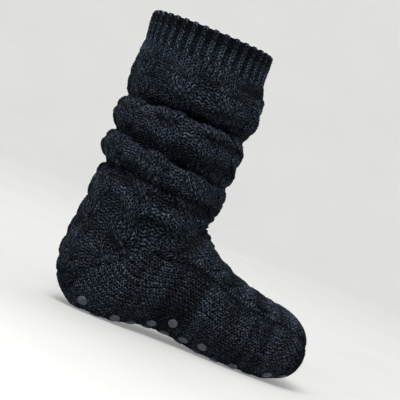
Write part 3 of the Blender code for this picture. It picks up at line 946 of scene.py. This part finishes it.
def marl_yarn():
    """Spun yarn: flecked plies that follow the stitches, with painted shade in the gaps and a fuzzy
    surface.
    """
    made, tree, shader = new_material("marl_yarn")
    knit = add(tree, "Attribute", [("attribute_name", "knit")]).outputs["Vector"]
    purl = add(tree, "Attribute", [("attribute_name", "purl")]).outputs["Fac"]
    wale, course, light = add(tree, "SeparateXYZ", Vector=knit).outputs
    side, across, ply, phase = strands(tree, wale, course, purl)
    place = add(tree, "TexCoord").outputs["Object"]
    lay = add(tree, "CombineXYZ", X=phase, Y=wale).outputs["Vector"]
    spun = add(tree, "Mapping", Vector=lay, Scale=FLECK_SCALE).outputs["Vector"]
    flecks = add(tree, "TexNoise", Vector=spun, Scale=1.0, Detail=3.0, Roughness=0.6)
    fleck = add(tree, "Math", TIMES_PLUS, i0=ply, i1=0.22, i2=flecks.outputs["Fac"]).outputs[0]
    colour = ramp(
        tree, fleck,
        (0.37, "#030509"), (0.46, "#121926"), (0.54, "#2a3340"), (0.64, "#4b525d"), (0.78, "#81868f"),
    )
    cloudy = add(tree, "Mapping", Vector=knit, Scale=BAR_SCALE).outputs["Vector"]
    bars = add(tree, "TexNoise", Vector=cloudy, Scale=1.0, Detail=2.0).outputs["Fac"]
    shifted = add(tree, "Mapping", Vector=knit, Scale=HUE_SCALE, Location=(7.0, 3.0, 0.0))
    drifts = shifted.outputs["Vector"]
    hues = add(tree, "TexNoise", Vector=drifts, Scale=1.0, Detail=1.0).outputs["Fac"]
    patches = add(tree, "TexNoise", Vector=place, Scale=1 / PATCH_SIZE, Detail=3.0).outputs["Fac"]
    # Painted shade carried by the mesh: darker where strands dip, in gutters, joins and creases.
    level = add(tree, "MapRange", Value=light, From_Min=0.0, From_Max=0.9).outputs[0]
    # Painted shade in the valleys between wales and down the middle of each V, left out on purl.
    valley_shade = ramp(tree, side, (0.0, "#7c7c82"), (0.22, "#ffffff"), (0.66, "#ffffff"), (0.96, "#48484e"))
    # The marl's own tones (bars, hues, patches) and painted shade (light level, gaps, valleys) darken
    # the flecks.
    marl_tones_and_painted_shade = (
        ramp(tree, bars, (0.36, "#989491"), (0.60, "#ffffff")),
        ramp(tree, hues, (0.40, "#fffaf8"), (0.5, "#f9faff"), (0.6, "#f3fdfb")),
        ramp(tree, patches, (0.32, "#d6d5d2"), (0.68, "#ffffff")),
        ramp(tree, level, (0.0, "#34363c"), (0.5, "#d0d0d2"), (0.9, "#ffffff")),
        # painted shade in the gaps between strands
        ramp(tree, across, (0.21, "#ffffff"), (0.42, "#222228")),
        add(tree, "Mix", [("data_type", "RGBA")], i0=purl, i6=valley_shade, i7=linear("#ffffff")).outputs[2],
    )
    for shade in marl_tones_and_painted_shade:
        colour = add(tree, "Mix", MULTIPLY, i0=1.0, i6=colour, i7=shade).outputs[2]
    fibres = add(tree, "TexNoise", Vector=place, Scale=1 / FIBRE_SIZE, Detail=4.0, Roughness=0.7)
    rounded = add(tree, "Math", TIMES_PLUS, i0=across, i1=-1.6, i2=fibres.outputs["Fac"])
    wound = add(tree, "Math", TIMES_PLUS, i0=ply, i1=0.8, i2=rounded.outputs[0])
    bump = add(tree, "Bump", Strength=0.7, Distance=STRAND_BUMP, Height=wound.outputs[0])
    feed(
        tree, shader, Base_Color=colour, Normal=bump.outputs["Normal"], Roughness=0.92, IOR=1.45,
        Specular_IOR_Level=0.03, Sheen_Weight=0.015, Sheen_Roughness=0.6, Sheen_Tint=linear("#8d9bb0"),
    )
    return made


# %% [markdown]
# ## Fibres, brushed pile and silicone
#
# Loose fibres are the yarn's own, each dyed one of its colours. The lining's polyester pile is raised
# by brushing and takes the light softly. The dots are silicone rubber, cast in place: it is slightly
# see-through, satin, and picks up lint.


# %% Fibre
def dyed_fibre():
    """Wool and acrylic fibre, grey or navy from one to the next."""
    made, tree, shader = new_material("dyed_fibre")
    place = add(tree, "TexCoord").outputs["Object"]
    dyes = add(tree, "TexNoise", Vector=place, Scale=1 / (4 * MM), Detail=1.0).outputs["Fac"]
    colour = ramp(tree, dyes, (0.35, "#10161f"), (0.5, "#2b3442"), (0.65, "#5d6570"))
    feed(tree, shader, Base_Color=colour, Roughness=0.7, Specular_IOR_Level=0.1)
    return made


# %% Brushed pile
TUFT, CLUMP = 1.6 * MM, 7 * MM


def brushed_pile():
    """Short raised pile, a darker shade of the yarn."""
    made, tree, shader = new_material("brushed_pile")
    place = add(tree, "TexCoord").outputs["Object"]
    tufts = add(tree, "TexVoronoi", Vector=place, Scale=1 / TUFT, Randomness=1.0)
    clumps = add(tree, "TexNoise", Vector=place, Scale=1 / CLUMP, Detail=4.0)
    colour = ramp(tree, clumps.outputs["Fac"], (0.3, "#0e1116"), (0.7, "#1f242c"))
    bump = add(tree, "Bump", Strength=0.9, Distance=0.8 * MM, Height=tufts.outputs["Distance"])
    feed(
        tree, shader, Base_Color=colour, Normal=bump.outputs["Normal"], Roughness=0.95,
        Specular_IOR_Level=0.05, Sheen_Weight=0.08, Sheen_Tint=linear("#6f7884"),
    )
    return made


# %% Silicone of the dots
LINT = 2.2 * MM
DULL, SATIN = (0.5, 0.5, 0.5, 1), (0.3, 0.3, 0.3, 1)  # roughness of its dull and its satin patches


def cast_silicone():
    """Grey silicone rubber, satin, with lint in it."""
    made, tree, shader = new_material("cast_silicone")
    place = add(tree, "TexCoord").outputs["Object"]
    lint = add(tree, "TexNoise", Vector=place, Scale=1 / LINT, Detail=5.0).outputs["Fac"]
    colour = ramp(tree, lint, (0.35, "#2b3036"), (0.65, "#434a52"))
    gloss = ramp(tree, lint, (0.35, DULL), (0.7, SATIN))
    bump = add(tree, "Bump", Strength=0.15, Distance=0.2 * MM, Height=lint)
    feed(
        tree, shader, Base_Color=colour, Roughness=gloss, Normal=bump.outputs["Normal"],
        IOR=1.41, Subsurface_Weight=0.15, Subsurface_Scale=2 * MM,
    )
    return made


# %% [markdown]
# ## Putting it together
#
# Every piece gets its material and rides on the sock's one body. The knit stands in for the smooth
# solid sock, and the domes for the solid dots.

# %% Materials, bodies and slots
yarn = marl_yarn()
for piece in pieces:
    piece.data.materials.append(yarn)
    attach(piece, "root")
    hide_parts("knitted_sock")
fuzz.data.materials.append(dyed_fibre())
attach(fuzz, "root")
lining.data.materials.append(brushed_pile())
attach(lining, "root")
dots.data.materials.append(cast_silicone())
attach(dots, "root")
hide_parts(*dot_names)
print(len(pieces), "knitted pieces, a lining, loose fibres and", len(dot_names), "dots are dressed")

# %% [markdown]
# ## Studio
#
# The sock stands on a plain pale floor that sweeps up into a round backdrop, so that no horizon
# shows from any side. The floor is a shade darker in the middle, where the lights are strongest.
# Large soft lights stand in front, above and behind.

# %% Floor and backdrop
STAGE_RADIUS = 2.6
SWEEP = 1.2
STAGE_HEIGHT = 3.2
SWEEP_STEPS = 12
STAGE_SIDES = 96


def pale_stage():
    """A floor that curves up to a wall all round: a profile turned about the middle."""
    profile = [(0.0, 0.0), (STAGE_RADIUS * 0.5, 0.0), (STAGE_RADIUS, 0.0)]
    for k in range(1, SWEEP_STEPS + 1):
        t = math.pi / 2 * k / SWEEP_STEPS
        profile.append((STAGE_RADIUS + SWEEP * math.sin(t), SWEEP * (1 - math.cos(t))))
    profile.append((STAGE_RADIUS + SWEEP, STAGE_HEIGHT))
    mesh = bpy.data.meshes.new("pale_stage")
    edges = [(i, i + 1) for i in range(len(profile) - 1)]
    mesh.from_pydata([(r, 0.0, z) for r, z in profile], edges, [])
    made = in_scene("pale_stage", mesh)
    screw = made.modifiers.new("turn", "SCREW")
    screw.steps = screw.render_steps = STAGE_SIDES
    screw.use_merge_vertices = True
    screw.merge_threshold = 0.0001
    screw.use_smooth_shade = True
    material, tree, shader = new_material("painted_floor")
    place = add(tree, "TexCoord").outputs["Object"]
    mottle = add(tree, "TexNoise", Vector=place, Scale=6.0, Detail=3.0)
    colour = ramp(tree, mottle.outputs["Fac"], (0.3, "#dededc"), (0.7, "#e3e3e1"))
    reach = add(tree, "VectorMath", [("operation", "LENGTH")], i0=place).outputs["Value"]
    share = add(tree, "Math", [("operation", "DIVIDE")], i0=reach, i1=STAGE_RADIUS).outputs[0]
    shade = ramp(tree, share, (0.0, "#b4b4b4"), (0.3, "#d2d2d2"), (0.9, "#ffffff"))
    colour = add(tree, "Mix", MULTIPLY, i0=1.0, i6=colour, i7=shade).outputs[2]
    feed(tree, shader, Base_Color=colour, Roughness=0.8)
    feed(tree, shader, Emission_Color=linear("#ffffff"), Emission_Strength=0.22)
    mesh.materials.append(material)
    return made


print(pale_stage().name, "radius, m:", STAGE_RADIUS + SWEEP)

# %% Lights
LIT_POINT = Vector((0, 0, 0.13))  # the middle of the sock


def soft_light(name, azimuth, elevation, distance, size, power):
    """A square area light that looks at the middle of the sock."""
    light = bpy.data.lights.new(name, "AREA")
    light.size = size
    light.energy = power
    made = in_scene(name, light)
    a, e = math.radians(azimuth), math.radians(elevation)
    way = Vector((math.sin(a) * math.cos(e), -math.cos(a) * math.cos(e), math.sin(e)))
    made.location = LIT_POINT + way * distance
    made.rotation_euler = way.to_track_quat("Z", "Y").to_euler()
    print(name, power, "W at", distance, "m")


soft_light("key_light", -34, 54, 1.9, 1.0, 49)
soft_light("fill_light", 45, 25, 2.1, 1.6, 8)
soft_light("top_light", 160, 70, 2.0, 1.4, 16)
world = bpy.data.worlds.new("studio")
bpy.context.scene.world = world
world.use_nodes = True
feed(world.node_tree, world.node_tree.nodes["Background"], Color=linear("#e8eaee"), Strength=0.25)

# %% [markdown]
# ## Camera
#
# The photograph looks at the side of the sock from a little behind, nearly level, with a long lens.
# There the foot points down from an upright leg. Standing on its sole, the sock keeps that view with
# the camera rolled by about half of the difference, so that leg and foot both lie near where they were.

# %% Camera
LENS = 135.0
SENSOR = 36.0
FRAME_SPAN = 0.356  # metres across the picture at the sock
AZIMUTH = math.radians(-12)
ELEVATION = math.radians(1)
ROLL = math.radians(22)
LOOK_AT = Vector((-0.020, 0.0, 0.128))


def photo_camera():
    """A nearly level camera on the sock's right side, rolled about its line of sight."""
    camera = bpy.data.cameras.new("photo_camera")
    camera.lens = LENS
    camera.sensor_width = SENSOR
    made = in_scene("photo_camera", camera)
    flat = math.cos(ELEVATION)
    back = Vector((math.sin(AZIMUTH) * flat, -math.cos(AZIMUTH) * flat, math.sin(ELEVATION)))
    right = Vector((math.cos(AZIMUTH), math.sin(AZIMUTH), 0))
    up = back.cross(right)
    cosine, sine = math.cos(ROLL), math.sin(ROLL)
    right, up = right * cosine + up * sine, up * cosine - right * sine
    turned = Matrix((right, up, back)).transposed().to_4x4()
    made.matrix_world = Matrix.Translation(LOOK_AT + back * (LENS / SENSOR * FRAME_SPAN)) @ turned
    return made


bpy.context.scene.camera = photo_camera()
bpy.context.scene.view_settings.view_transform = "Standard"
print("camera, m from the sock:", round(LENS / SENSOR * FRAME_SPAN, 3))
